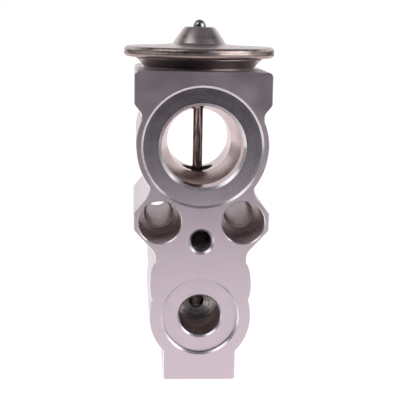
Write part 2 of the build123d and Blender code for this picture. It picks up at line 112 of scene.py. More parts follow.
class ValveBlockSettings(bpy.types.PropertyGroup):
    """Finish of the aluminium block, with painted shade in its holes and painted highlights on its
    chamfers.
    """

    milled_color: FloatVectorProperty(
        name="Milled faces",
        description="Colour of the flat front and back faces",
        subtype="COLOR",
        size=3,
        min=0.0,
        max=1.0,
        default=(0.635, 0.535, 0.60),
    )
    drawn_color: FloatVectorProperty(
        name="Drawn sides",
        description="Colour of the extruded sides",
        subtype="COLOR",
        size=3,
        min=0.0,
        max=1.0,
        default=(0.75, 0.67, 0.725),
    )
    turned_color: FloatVectorProperty(
        name="Turned faces",
        description="Colour of bores and turned faces",
        subtype="COLOR",
        size=3,
        min=0.0,
        max=1.0,
        default=(0.57, 0.50, 0.56),
    )
    bored_color: FloatVectorProperty(
        name="Suction bores",
        description="Colour of the bored suction passage",
        subtype="COLOR",
        size=3,
        min=0.0,
        max=1.0,
        default=(0.64, 0.56, 0.55),
    )
    # Painted shade: the liquid bores and the bores round the rod take a darker colour than the faces,
    # standing in for the shade inside them
    shaded_drilled_color: FloatVectorProperty(
        name="Liquid bores",
        description="Colour of the liquid bores and of the bores round the rod",
        subtype="COLOR",
        size=3,
        min=0.0,
        max=1.0,
        default=(0.53, 0.47, 0.46),
    )
    recess_color: FloatVectorProperty(
        name="Screw recesses",
        description="Colour of the recesses for the screw heads",
        subtype="COLOR",
        size=3,
        min=0.0,
        max=1.0,
        default=(0.84, 0.76, 0.74),
    )
    # Painted shade: the tapped hole, its thread and the long screw holes take a much darker colour,
    # standing in for the shade deep inside them
    shaded_deep_color: FloatVectorProperty(
        name="Deep holes",
        description="Colour of the tapped hole, its thread and the long screw holes",
        subtype="COLOR",
        size=3,
        min=0.0,
        max=1.0,
        default=(0.37, 0.33, 0.33),
    )
    # Painted highlight: the chamfered edges take a brighter colour than the faces, standing in for the
    # bright lines of light along them
    edge_highlight_color: FloatVectorProperty(
        name="Broken edges",
        description="Colour of the chamfered edges",
        subtype="COLOR",
        size=3,
        min=0.0,
        max=1.0,
        default=(0.95, 0.90, 0.93),
    )
    feed: FloatProperty(
        name="Tool feed",
        description="Distance between two tool marks",
        subtype="DISTANCE",
        unit="LENGTH",
        min=0.00002,
        default=0.00016,
    )
    thread_pitch: FloatProperty(
        name="Thread pitch",
        description="Pitch of the tapped hole",
        subtype="DISTANCE",
        unit="LENGTH",
        min=0.0003,
        default=0.001,
    )


class ValveHeadSettings(bpy.types.PropertyGroup):
    """Finish of the diaphragm head, with painted shade on the lower cover."""

    steel_color: FloatVectorProperty(
        name="Head steel",
        description="Colour of the upper cover",
        subtype="COLOR",
        size=3,
        min=0.0,
        max=1.0,
        default=(0.60, 0.52, 0.51),
    )
    # Painted shade: the lower cover sits under the rim, and its colour is darkened all over to stand in
    # for that shade; the weld's own tint is the heat tint
    shaded_cup_color: FloatVectorProperty(
        name="Cup steel",
        description="Colour of the lower cover, darkened all over as painted shade under the rim",
        subtype="COLOR",
        size=3,
        min=0.0,
        max=1.0,
        default=(0.32, 0.27, 0.26),
    )
    heat_color: FloatVectorProperty(
        name="Heat tint",
        description="Colour that the rim weld has left in the steel",
        subtype="COLOR",
        size=3,
        min=0.0,
        max=1.0,
        default=(0.42, 0.29, 0.25),
    )
    weld_color: FloatVectorProperty(
        name="Weld",
        description="Colour of the rim weld",
        subtype="COLOR",
        size=3,
        min=0.0,
        max=1.0,
        default=(0.72, 0.66, 0.60),
    )
    rod_color: FloatVectorProperty(
        name="Rod steel",
        description="Colour of the actuating rod",
        subtype="COLOR",
        size=3,
        min=0.0,
        max=1.0,
        default=(0.62, 0.53, 0.51),
    )


class ValveInsideSettings(bpy.types.PropertyGroup):
    """Finish of the small pieces inside the block."""

    brass_color: FloatVectorProperty(
        name="Brass",
        description="Colour of the adjusting screw and the stop plate",
        subtype="COLOR",
        size=3,
        min=0.0,
        max=1.0,
        default=(0.78, 0.58, 0.30),
    )
    rubber_color: FloatVectorProperty(
        name="Rubber",
        description="Colour of the rings and the gasket",
        subtype="COLOR",
        size=3,
        min=0.0,
        max=1.0,
        default=(0.022, 0.030, 0.026),
    )
    spring_color: FloatVectorProperty(
        name="Spring steel",
        description="Colour of the springs, the diaphragm and the washer round the rod",
        subtype="COLOR",
        size=3,
        min=0.0,
        max=1.0,
        default=(0.48, 0.47, 0.46),
    )


class ValveStudioSettings(bpy.types.PropertyGroup):
    """Camera and light."""

    camera_place: FloatVectorProperty(
        name="Camera place",
        description="Where the camera stands",
        subtype="TRANSLATION",
        unit="LENGTH",
        size=3,
        default=(-0.017772, -0.280133, 0.094692),
    )
    pitch: FloatProperty(
        name="Pitch",
        description="How far the camera looks down",
        subtype="ANGLE",
        unit="ROTATION",
        default=math.radians(10.1778),
    )
    yaw: FloatProperty(
        name="Yaw",
        description="How far the camera turns to the right",
        subtype="ANGLE",
        unit="ROTATION",
        default=math.radians(3.8206),
    )
    roll: FloatProperty(
        name="Roll",
        description="How far the camera leans",
        subtype="ANGLE",
        unit="ROTATION",
        default=math.radians(1.0079),
    )
    lens: FloatProperty(
        name="Lens",
        description="Focal length in millimetres on a 36 mm sensor",
        min=10.0,
        default=92.483,
    )
    room_light: FloatProperty(
        name="Room light",
        description="Brightness of the backdrop",
        min=0.0,
        default=1.0,
    )
    side_light: FloatProperty(
        name="Side light",
        description="Brightness of the room to the left and right",
        min=0.0,
        default=0.35,
    )
    ceiling_light: FloatProperty(
        name="Ceiling light",
        description="Brightness of the ceiling",
        min=0.0,
        default=0.16,
    )
    dark_room: FloatProperty(
        name="Dark room",
        description="Brightness of the room where nothing lights it",
        min=0.0,
        default=0.04,
    )
    table_width: FloatProperty(
        name="Table width",
        description="Width of the white table",
        subtype="DISTANCE",
        unit="LENGTH",
        min=0.2,
        default=0.80,
    )
    table_front: FloatProperty(
        name="Table front",
        description="How far the white table reaches in front of the valve",
        subtype="DISTANCE",
        unit="LENGTH",
        min=0.1,
        default=0.245,
    )


# ------------------------------------------------------------------ node tools


def new_group(name, inputs, outputs):
    """A shader node group with float or vector sockets; returns its tree, entry and exit."""
    tree = bpy.data.node_groups.new(name, "ShaderNodeTree")
    for label, kind, default in inputs:
        socket = tree.interface.new_socket(label, in_out="INPUT", socket_type=kind)
        if default is not None:
            socket.default_value = default
    for label, kind in outputs:
        tree.interface.new_socket(label, in_out="OUTPUT", socket_type=kind)
    entry = tree.nodes.new("NodeGroupInput")
    leave = tree.nodes.new("NodeGroupOutput")
    return tree, entry, leave


def math_node(tree, operation, first, second=None, clamp=False):
    """A Math node; each input is a socket or a number."""
    node = tree.nodes.new("ShaderNodeMath")
    node.operation = operation
    node.use_clamp = clamp
    for index, value in enumerate((first, second)):
        if value is None:
            continue
        if isinstance(value, (int, float)):
            node.inputs[index].default_value = value
        else:
            tree.links.new(value, node.inputs[index])
    return node.outputs[0]


def noise_node(tree, vector, scale, detail=2.0, roughness=0.5):
    """A Noise Texture's factor on a vector."""
    node = tree.nodes.new("ShaderNodeTexNoise")
    tree.links.new(vector, node.inputs["Vector"])
    if isinstance(scale, (int, float)):
        node.inputs["Scale"].default_value = scale
    else:
        tree.links.new(scale, node.inputs["Scale"])
    node.inputs["Detail"].default_value = detail
    node.inputs["Roughness"].default_value = roughness
    return node.outputs["Fac"]


def stretch_node(tree, vector, scale):
    """A Mapping node that stretches a vector."""
    node = tree.nodes.new("ShaderNodeMapping")
    node.inputs["Scale"].default_value = scale
    tree.links.new(vector, node.inputs["Vector"])
    return node.outputs["Vector"]


def ramp_node(tree, value, low, high, low_out=0.0, high_out=1.0):
    """A Map Range node, clamped."""
    node = tree.nodes.new("ShaderNodeMapRange")
    node.clamp = True
    tree.links.new(value, node.inputs["Value"])
    node.inputs["From Min"].default_value = low
    node.inputs["From Max"].default_value = high
    node.inputs["To Min"].default_value = low_out
    node.inputs["To Max"].default_value = high_out
    return node.outputs["Result"]


def radius_nodes(tree, split):
    """Distance from the local Z axis, from a Separate XYZ node."""
    across = math_node(tree, "POWER", split.outputs["X"], 2.0)
    upward = math_node(tree, "POWER", split.outputs["Y"], 2.0)
    return math_node(tree, "SQRT", math_node(tree, "ADD", across, upward))


def mix_shaders(tree, factor, low, high, leave):
    """Sends one shader to an output where a factor is 0 and another where it is 1."""
    mix = tree.nodes.new("ShaderNodeMixShader")
    tree.links.new(factor, mix.inputs[0])
    tree.links.new(low.outputs[0], mix.inputs[1])
    tree.links.new(high.outputs[0], mix.inputs[2])
    tree.links.new(mix.outputs[0], leave.inputs["Surface"])


def make_grain_group():
    """Fine satin grain with faint cloudy patches."""
    tree, entry, leave = new_group(
        "satin_grain",
        [
            ("Vector", "NodeSocketVector", None),
            ("Grain Scale", "NodeSocketFloat", 9000.0),
            ("Patch Scale", "NodeSocketFloat", 120.0),
        ],
        [("Grain", "NodeSocketFloat"), ("Patches", "NodeSocketFloat")],
    )
    vector = entry.outputs["Vector"]
    grain = noise_node(tree, vector, entry.outputs["Grain Scale"], 3.0, 0.6)
    patches = noise_node(tree, vector, entry.outputs["Patch Scale"], 2.0, 0.5)
    tree.links.new(grain, leave.inputs["Grain"])
    tree.links.new(patches, leave.inputs["Patches"])
    return tree


def make_turning_group():
    """Feed marks of a turning tool: rings on a face, turns along a bore; local Z is the axis."""
    tree, entry, leave = new_group(
        "turning_marks",
        [
            ("Vector", "NodeSocketVector", None),
            ("Feed", "NodeSocketFloat", 0.00016),
            ("Streak Scale", "NodeSocketFloat", 1900.0),
        ],
        [("Height", "NodeSocketFloat"), ("Streaks", "NodeSocketFloat")],
    )
    split = tree.nodes.new("ShaderNodeSeparateXYZ")
    tree.links.new(entry.outputs["Vector"], split.inputs["Vector"])
    radius = radius_nodes(tree, split)
    along = math_node(tree, "ADD", radius, split.outputs["Z"])
    turns = math_node(tree, "DIVIDE", along, entry.outputs["Feed"])
    wave = math_node(tree, "SINE", math_node(tree, "MULTIPLY", turns, 2 * math.pi))
    join = tree.nodes.new("ShaderNodeCombineXYZ")
    tree.links.new(along, join.inputs["X"])
    streaks = noise_node(tree, join.outputs["Vector"], entry.outputs["Streak Scale"], 3.0, 0.5)
    half = math_node(tree, "MULTIPLY", wave, 0.35)
    height = math_node(tree, "ADD", half, streaks)
    tree.links.new(height, leave.inputs["Height"])
    tree.links.new(streaks, leave.inputs["Streaks"])
    return tree


def make_draw_group():
    """Lines left along a drawn or rolled surface; local Z runs along them."""
    tree, entry, leave = new_group(
        "drawing_lines",
        [
            ("Vector", "NodeSocketVector", None),
            ("Density", "NodeSocketFloat", 2500.0),
        ],
        [("Lines", "NodeSocketFloat")],
    )
    stretched = stretch_node(tree, entry.outputs["Vector"], (1.0, 1.0, 0.012))
    lines = noise_node(tree, stretched, entry.outputs["Density"], 3.0, 0.65)
    tree.links.new(lines, leave.inputs["Lines"])
    return tree


def make_heat_group():
    """Where a weld has tinted the steel: a broken band round the rim, local Z is the axis."""
    tree, entry, leave = new_group(
        "heat_tint",
        [
            ("Vector", "NodeSocketVector", None),
            ("Inner Radius", "NodeSocketFloat", 0.018),
            ("Outer Radius", "NodeSocketFloat", 0.020),
        ],
        [("Mask", "NodeSocketFloat")],
    )
    split = tree.nodes.new("ShaderNodeSeparateXYZ")
    tree.links.new(entry.outputs["Vector"], split.inputs["Vector"])
    radius = radius_nodes(tree, split)
    reach = math_node(tree, "SUBTRACT", radius, entry.outputs["Inner Radius"])
    width = math_node(tree, "SUBTRACT", entry.outputs["Outer Radius"], entry.outputs["Inner Radius"])
    band = math_node(tree, "DIVIDE", reach, width, clamp=True)
    squeezed = stretch_node(tree, entry.outputs["Vector"], (1.0, 1.0, 3.0))
    broken = ramp_node(tree, noise_node(tree, squeezed, 420.0, 3.0, 0.6), 0.42, 0.62)
    tree.links.new(math_node(tree, "MULTIPLY", band, broken), leave.inputs["Mask"])
    return tree


GROUPS = {}


def group_node(tree, name, vector, **values):
    """Places a shared node group in a material."""
    node = tree.nodes.new("ShaderNodeGroup")
    node.node_tree = GROUPS[name]
    tree.links.new(vector, node.inputs["Vector"])
    for label, value in values.items():
        node.inputs[label.replace("_", " ")].default_value = value
    return node


def start_material(name, metallic, centre=(0, 0, 0), turn=(0, 0, 0)):
    """A material with a Principled shader and Object coordinates centred on a piece."""
    material = bpy.data.materials.new(name)
    material.use_nodes = True
    tree = material.node_tree
    shader = tree.nodes["Principled BSDF"]
    shader.inputs["Metallic"].default_value = metallic
    place = tree.nodes.new("ShaderNodeTexCoord")
    mapping = tree.nodes.new("ShaderNodeMapping")
    mapping.vector_type = "TEXTURE"
    mapping.inputs["Location"].default_value = centre
    mapping.inputs["Rotation"].default_value = turn
    tree.links.new(place.outputs["Object"], mapping.inputs["Vector"])
    return material, tree, shader, mapping.outputs["Vector"]


def tint(tree, shader, color, factor, low, high):
    """Base colour that is darker where a mask is low and lighter where it is high."""
    mix = tree.nodes.new("ShaderNodeMix")
    mix.data_type = "RGBA"
    tree.links.new(factor, mix.inputs["Factor"])
    mix.inputs["A"].default_value = (*[min(1.0, part * low) for part in color], 1.0)
    mix.inputs["B"].default_value = (*[min(1.0, part * high) for part in color], 1.0)
    tree.links.new(mix.outputs["Result"], shader.inputs["Base Color"])


def stain(tree, shader, color, mask):
    """Turns the base colour toward another colour where a mask is high."""
    mix = tree.nodes.new("ShaderNodeMix")
    mix.data_type = "RGBA"
    tree.links.new(mask, mix.inputs["Factor"])
    tree.links.new(shader.inputs["Base Color"].links[0].from_socket, mix.inputs["A"])
    mix.inputs["B"].default_value = (*color, 1.0)
    tree.links.new(mix.outputs["Result"], shader.inputs["Base Color"])


def heat_stain(material, color, inner, outer):
    """Adds a weld's tint to a metal, from an inner to an outer radius round the valve's axis."""
    tree = material.node_tree
    place = tree.nodes.new("ShaderNodeTexCoord")
    tinted = group_node(
        tree, "heat_tint", place.outputs["Object"], Inner_Radius=inner, Outer_Radius=outer
    )
    stain(tree, tree.nodes["Principled BSDF"], color, tinted.outputs["Mask"])


def bump(tree, shader, height, strength, distance):
    """A Bump node that feeds the shader's normal."""
    node = tree.nodes.new("ShaderNodeBump")
    node.inputs["Strength"].default_value = strength
    node.inputs["Distance"].default_value = distance
    tree.links.new(height, node.inputs["Height"])
    tree.links.new(node.outputs["Normal"], shader.inputs["Normal"])


def satin_material(name, color, roughness, spread=0.08):
    """Metal with an even satin grain and faint patches."""
    material, tree, shader, vector = start_material(name, METAL)
    grain = group_node(tree, "satin_grain", vector)
    mixed = math_node(tree, "MULTIPLY", grain.outputs["Grain"], 0.5)
    mixed = math_node(tree, "ADD", mixed, math_node(tree, "MULTIPLY", grain.outputs["Patches"], 0.5))
    tint(tree, shader, color, ramp_node(tree, mixed, 0.35, 0.65), 0.94, 1.04)
    rough = ramp_node(tree, mixed, 0.3, 0.7, roughness - spread, roughness + spread)
    tree.links.new(rough, shader.inputs["Roughness"])
    bump(tree, shader, grain.outputs["Grain"], 0.25, 0.00002)
    return material


def turned_material(
    name, color, roughness, centre, turn, feed, depth=0.3, contrast=0.10, edge=(1, 1, 1), streak=1900
):
    """Turned or bored metal with feed marks round one axis."""
    material, tree, shader, vector = start_material(name, METAL, centre, turn)
    shader.inputs["Specular Tint"].default_value = (*edge, 1.0)
    marks = group_node(tree, "turning_marks", vector, Feed=feed, Streak_Scale=streak)
    grain = group_node(tree, "satin_grain", vector, Patch_Scale=260.0)
    streaks = ramp_node(tree, marks.outputs["Streaks"], 0.3, 0.7)
    tint(tree, shader, color, streaks, 1 - contrast, 1 + contrast / 2)
    rough = ramp_node(
        tree, streaks, 0.0, 1.0, roughness * (1 - contrast * 2.5), roughness * (1 + contrast * 3)
    )
    cloud = contrast * 0.3
    patches = ramp_node(tree, grain.outputs["Patches"], 0.35, 0.65, -cloud, cloud)
    rough = math_node(tree, "ADD", rough, patches)
    tree.links.new(rough, shader.inputs["Roughness"])
    bump(tree, shader, marks.outputs["Height"], depth, 0.000008)
    return material


def drawn_material(name, color, roughness, turn, depth=0.25):
    """Extruded, drawn or rolled metal with lines along one axis."""
    material, tree, shader, vector = start_material(name, METAL, turn=turn)
    lines = group_node(tree, "drawing_lines", vector)
    grain = group_node(tree, "satin_grain", vector, Patch_Scale=160.0)
    tint(tree, shader, color, ramp_node(tree, lines.outputs["Lines"], 0.3, 0.7), 0.93, 1.04)
    rough = ramp_node(tree, lines.outputs["Lines"], 0.3, 0.7, roughness * 0.8, roughness * 1.25)
    rough = math_node(
        tree, "ADD", rough, ramp_node(tree, grain.outputs["Patches"], 0.35, 0.65, -0.03, 0.03)
    )
    tree.links.new(rough, shader.inputs["Roughness"])
    bump(tree, shader, lines.outputs["Lines"], depth, 0.00001)
    return material


def rubber_material(name, color):
    """Moulded rubber with a faint bloom."""
    material, tree, shader, vector = start_material(name, NOT_METAL)
    grain = group_node(tree, "satin_grain", vector, Grain_Scale=5000.0)
    tint(tree, shader, color, grain.outputs["Patches"], 0.8, 1.8)
    rough = ramp_node(tree, grain.outputs["Patches"], 0.3, 0.7, 0.42, 0.62)
    tree.links.new(rough, shader.inputs["Roughness"])
    bump(tree, shader, grain.outputs["Grain"], 0.15, 0.00002)
    return material


# ------------------------------------------------------------------ mesh tools


def dress(node, material):
    """Gives a CAD node one finish."""
    mesh = NODES[node].data
    mesh.materials.clear()
    mesh.materials.append(material)


def finish_mesh(bm, name, material, body):
    """Turns a bmesh into a piece that rides on a CAD body."""
    bmesh.ops.remove_doubles(bm, verts=bm.verts, dist=WELD_DISTANCE)
    bmesh.ops.recalc_face_normals(bm, faces=bm.faces)
    mesh = bpy.data.meshes.new(name)
    bm.to_mesh(mesh)
    bm.free()
    for polygon in mesh.polygons:
        polygon.use_smooth = True
    mesh.materials.append(material)
    piece = bpy.data.objects.new(name, mesh)
    bpy.context.scene.collection.objects.link(piece)
    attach(piece, body)
    return piece


def outline(bm, corners, centre, axis):
    """A closed outline of (radius, height) corners beside an axis: unit axis, points, edges."""
    axis = Vector(axis).normalized()
    side = axis.orthogonal().normalized()
    points = [bm.verts.new(centre + side * r + axis * h) for r, h in corners]
    edges = [bm.edges.new((a, b)) for a, b in zip(points, points[1:] + points[:1])]
    return axis, points, edges


def spun_ring(bm, corners, centre, axis, steps):
    """Spins an outline all the way round an axis."""
    axis, points, edges = outline(bm, corners, centre, axis)
    bmesh.ops.spin(
        bm,
        geom=points + edges,
        cent=centre,
        axis=axis,
        angle=2 * math.pi,
        steps=steps,
        use_merge=True,
        use_duplicate=False,
    )


def helix(bm, corners, centre, axis, turns, pitch, steps):
    """Sweeps an outline up a helix and caps both ends."""
    axis, points, edges = outline(bm, corners, centre, axis)
    bm.faces.new(points)
    count = int(round(steps * turns))
    made = bmesh.ops.spin(
        bm,
        geom=points + edges,
        cent=centre,
        axis=axis,
        dvec=axis * (pitch * turns / count),
        angle=2 * math.pi * turns,
        steps=count,
        use_merge=False,
        use_duplicate=False,
    )
    last = [item for item in made["geom_last"] if isinstance(item, bmesh.types.BMEdge)]
    bmesh.ops.contextual_create(bm, geom=last)


def round_corners(radius, height, section, count):
    """A round section's corners, for a ring or a coil."""
    return [
        (
            radius + section * math.cos(2 * math.pi * i / count),
            height + section * math.sin(2 * math.pi * i / count),
        )
        for i in range(count)
    ]


# ------------------------------------------------------------------ operators


# Tints of a bore's walls where they are seen edge on
BORED_EDGE = (0.86, 0.77, 0.79)
DULL_EDGE = (0.84, 0.76, 0.79)

# Where each cut in the block ends, in metres. A zone is a radius just outside its cut.
FLUSH = 0.00003
LEAD_IN_DEPTH = 0.0016
RECESS_ZONE = 0.0058
SCREW_HOLE_ZONE = 0.0036
TAPPED_ZONE = 0.0035
TAPPED_END = -0.007
SUCTION_ZONE = 0.01575
SUCTION_REACH = 0.0157
SUCTION_FACE_DEPTH = 0.0007
SEAL_POCKET_REACH = 0.009
SEAL_POCKET_ZONE = 0.0043
LIQUID_ZONE = 0.01023
LIQUID_FACE_DEPTH = 0.0015
CHAMBER_REACH = 0.0047
HEAD_BORE_ZONE = 0.0114
HEAD_BORE_FLOOR = 0.07
STEM_BORE_ZONE = 0.0068


class VALVE_OT_block(bpy.types.Operator):
    """Finishes of the aluminium block, face by face, with painted shade in the holes and painted
    highlights on the chamfers
    """

    bl_idname = "valve.block"
    bl_label = "Dress Block"

    def execute(self, context):
        settings = context.scene.valve_block
        bored, drilled, milled = settings.bored_color, settings.shaded_drilled_color, settings.milled_color
        recess, deep_shade = settings.recess_color, settings.shaded_deep_color
        feed = settings.feed
        coarse = feed * 4
        facing = feed * 3
        left = Vector((-SCREW_REACH, 0, SCREWS.z))
        right = Vector((SCREW_REACH, 0, SCREWS.z))

        def bored_along(name, color, roughness, centre, *marks, **more):
            return turned_material(name, color, roughness, centre, TOWARD_FRONT, *marks, **more)

        finishes = {
            "milled": satin_material("milled_aluminium", milled, 0.36),
            "drawn": drawn_material("drawn_aluminium", settings.drawn_color, 0.34, TOWARD_FRONT),
            "suction": bored_along("suction_boring", bored, 0.16, SUCTION, feed, edge=BORED_EDGE),
            # The liquid bores and the bores round the rod take a darker colour: painted shade inside
            # them
            "inlet": bored_along("inlet_boring", drilled, 0.30, INLET, coarse, 0.6, 0.3, DULL_EDGE),
            "outlet": bored_along("outlet_boring", drilled, 0.30, OUTLET, coarse, 0.6, 0.3, DULL_EDGE),
            # The deep holes take the darkened deep-hole colour: painted shade
            "drilled": bored_along("drilled_holes", deep_shade, 0.34, TAPPED, feed, edge=DULL_EDGE),
            "stem": turned_material("stem_boring", drilled, 0.26, VALVE_AXIS, UPRIGHT, feed),
            # The chamfers take a brighter colour as a painted highlight along the edges
            "edge": satin_material("broken_edge_highlight", settings.edge_highlight_color, 0.26),
            "inlet_face": bored_along("inlet_facing", milled, 0.36, INLET, facing, 0.15),
            "outlet_face": bored_along("outlet_facing", milled, 0.36, OUTLET, facing, 0.15),
            "suction_face": bored_along(
                "suction_facing", settings.turned_color, 0.27, SUCTION, feed * 5, 0.06, 0.03, streak=450
            ),
            "left_recess": bored_along(
                "left_screw_recess", recess, 0.32, left, coarse, 0.5, 0.2, DULL_EDGE
            ),
            "right_recess": bored_along(
                "right_screw_recess", recess, 0.32, right, coarse, 0.5, 0.2, DULL_EDGE
            ),
        }
        mesh = NODES["valve_body"].data
        mesh.materials.clear()
        for finish in finishes.values():
            mesh.materials.append(finish)
        order = {name: index for index, name in enumerate(finishes)}
        indices = [order[self.finish_of(polygon)] for polygon in mesh.polygons]
        mesh.polygons.foreach_set("material_index", indices)
        mesh.update()
        return {"FINISHED"}

    def finish_of(self, polygon):
        """Name of the finish that one facet of the block takes."""
        place, facing = polygon.center, polygon.normal
        from_face = BODY_HIGH.y - abs(place.y)
        from_axis = math.hypot(place.x, place.y)
        level = abs(facing.y) > 0.99
        sloping = 0.3 < abs(facing.y) < 0.95
        in_front = place.y < 0

        if from_face < FLUSH and level:
            return "milled"
        if from_face < LEAD_IN_DEPTH and sloping:
            return "edge"
        from_screw = min(
            math.hypot(place.x - side * SCREW_REACH, place.z - SCREWS.z) for side in (-1, 1)
        )
        if from_screw < RECESS_ZONE:
            if from_screw < SCREW_HOLE_ZONE:
                return "drilled"
            if sloping:
                return "edge"
            return "left_recess" if place.x < 0 else "right_recess"
        if math.hypot(place.x, place.z - TAPPED.z) < TAPPED_ZONE and place.y < TAPPED_END:
            return "drilled"
        if math.hypot(place.x, place.z - SUCTION.z) < SUCTION_ZONE and abs(place.x) < SUCTION_REACH:
            if from_face < SUCTION_FACE_DEPTH and level:
                return "suction_face"
            if abs(place.y) > SEAL_POCKET_REACH or from_axis > SEAL_POCKET_ZONE:
                return "suction"
        liquid = INLET if in_front else OUTLET
        from_liquid = math.hypot(place.x, place.z - liquid.z)
        if from_liquid < LIQUID_ZONE and abs(place.y) > CHAMBER_REACH:
            if level and from_face < LIQUID_FACE_DEPTH:
                return "inlet_face" if in_front else "outlet_face"
            return "inlet" if in_front else "outlet"
        if from_axis < HEAD_BORE_ZONE and (from_axis < STEM_BORE_ZONE or place.z > HEAD_BORE_FLOOR):
            return "stem"
        return "drawn"


class VALVE_OT_thread(bpy.types.Operator):
    """Thread of the tapped hole"""

    bl_idname = "valve.thread"
    bl_label = "Cut Thread"

    def execute(self, context):
        settings = context.scene.valve_block
        pitch = settings.thread_pitch
        radius = mount_radius("pipe_plate_screw")
        ridge = 0.00022
        sunk = 0.00003
        half_root = pitch * 0.44
        half_crest = pitch * 0.07
        corners = [
            (radius + sunk, -half_root),
            (radius - ridge, -half_crest),
            (radius - ridge, half_crest),
            (radius + sunk, half_root),
        ]
        first_turn = 0.0012
        turns = 11
        steps = 48
        start = Vector((0, BODY_LOW.y + first_turn, TAPPED.z))
        bm = bmesh.new()
        helix(bm, corners, start, (0, 1, 0), turns, pitch, steps)
        # The thread takes the darkened deep-hole colour: painted shade
        turned = turned_material(
            "cut_thread", settings.shaded_deep_color, 0.28, TAPPED, TOWARD_FRONT, settings.feed
        )
        finish_mesh(bm, "hole_thread", turned, "block")
        return {"FINISHED"}


class VALVE_OT_head(bpy.types.Operator):
    """Finishes of the diaphragm head and its plug, and the weld round its rim"""

    bl_idname = "valve.head"
    bl_label = "Dress Head"

    def execute(self, context):
        settings = context.scene.valve_head
        upper = turned_material(
            "spun_steel", settings.steel_color, 0.30, VALVE_AXIS, UPRIGHT, 0.00022, 0.15
        )
        # The lower cover's dark colour is painted shade under the rim
        lower = turned_material(
            "pressed_steel", settings.shaded_cup_color, 0.33, VALVE_AXIS, UPRIGHT, 0.0003, 0.12
        )
        rim = COVER_HIGH.x
        tint_end = 0.0002
        heat_stain(upper, settings.heat_color, rim - 0.0016, rim - tint_end)
        heat_stain(lower, settings.heat_color, rim - 0.0020, rim - tint_end)
        dress("head_upper_cover", upper)
        dress("head_lower_cover", lower)
        dress("charge_plug", satin_material("polished_steel", (0.50, 0.49, 0.50), 0.10, 0.03))
        weld = turned_material(
            "weld_bead", settings.weld_color, 0.22, VALVE_AXIS, UPRIGHT, 0.0004, 0.2
        )
        bead = 0.0004
        inset = 0.00042
        seam = (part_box("head_lower_cover")[1].z + COVER_LOW.z) / 2
        corners = round_corners(rim - inset, seam, bead, 12)
        bm = bmesh.new()
        spun_ring(bm, corners, Vector(VALVE_AXIS), (0, 0, 1), 128)
        finish_mesh(bm, "rim_weld", weld, "block")
        return {"FINISHED"}


class VALVE_OT_inside(bpy.types.Operator):
    """Finishes of the rod, ball, springs, screw and seals"""

    bl_idname = "valve.inside"
    bl_label = "Dress Inside"

    def execute(self, context):
        head = context.scene.valve_head
        inside = context.scene.valve_inside
        rod = drawn_material("rod_steel", head.rod_color, 0.20, UPRIGHT, 0.1)
        dress("actuating_rod", rod)
        dark_steel = satin_material("holder_steel", (0.17, 0.15, 0.14), 0.36)
        brass = turned_material("turned_brass", inside.brass_color, 0.25, VALVE_AXIS, UPRIGHT, 0.0002)
        for node in ("adjuster_screw", "stop_plate"):
            dress(node, brass)
        dress("ball_holder", dark_steel)
        spring = drawn_material("spring_wire", inside.spring_color, 0.25, UPRIGHT, 0.1)
        for node in ("superheat_spring", "damper_spring", "diaphragm", "seal_retainer"):
            dress(node, spring)
        dress("valve_ball", satin_material("ball_steel", (0.62, 0.61, 0.60), 0.08, 0.02))
        rubber = rubber_material("moulded_rubber", inside.rubber_color)
        for node in ("head_gasket", "rod_seal", "adjuster_seal"):
            dress(node, rubber)
        self.split_spring(spring)
        return {"FINISHED"}

    def split_spring(self, material):
        """Two half springs, cut across the spring's middle height and each closed at the cut."""
        low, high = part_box("superheat_spring")
        middle = (low.z + high.z) / 2
        for name, keep_low in (("superheat_spring_lower", True), ("superheat_spring_upper", False)):
            bm = bmesh.new()
            bm.from_mesh(NODES["superheat_spring"].data)
            bmesh.ops.remove_doubles(bm, verts=bm.verts, dist=WELD_DISTANCE)
            cut = bmesh.ops.bisect_plane(
                bm,
                geom=bm.verts[:] + bm.edges[:] + bm.faces[:],
                plane_co=(0, 0, middle),
                plane_no=(0, 0, 1),
                clear_outer=keep_low,
                clear_inner=not keep_low,
            )
            rim = [item for item in cut["geom_cut"] if isinstance(item, bmesh.types.BMEdge)]
            bmesh.ops.edgeloop_fill(bm, edges=rim)
            piece = finish_mesh(bm, name, material, "block")
            piece.parent = None
            if keep_low:
                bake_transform(piece)
            else:
                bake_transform(piece)
            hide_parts("superheat_spring")


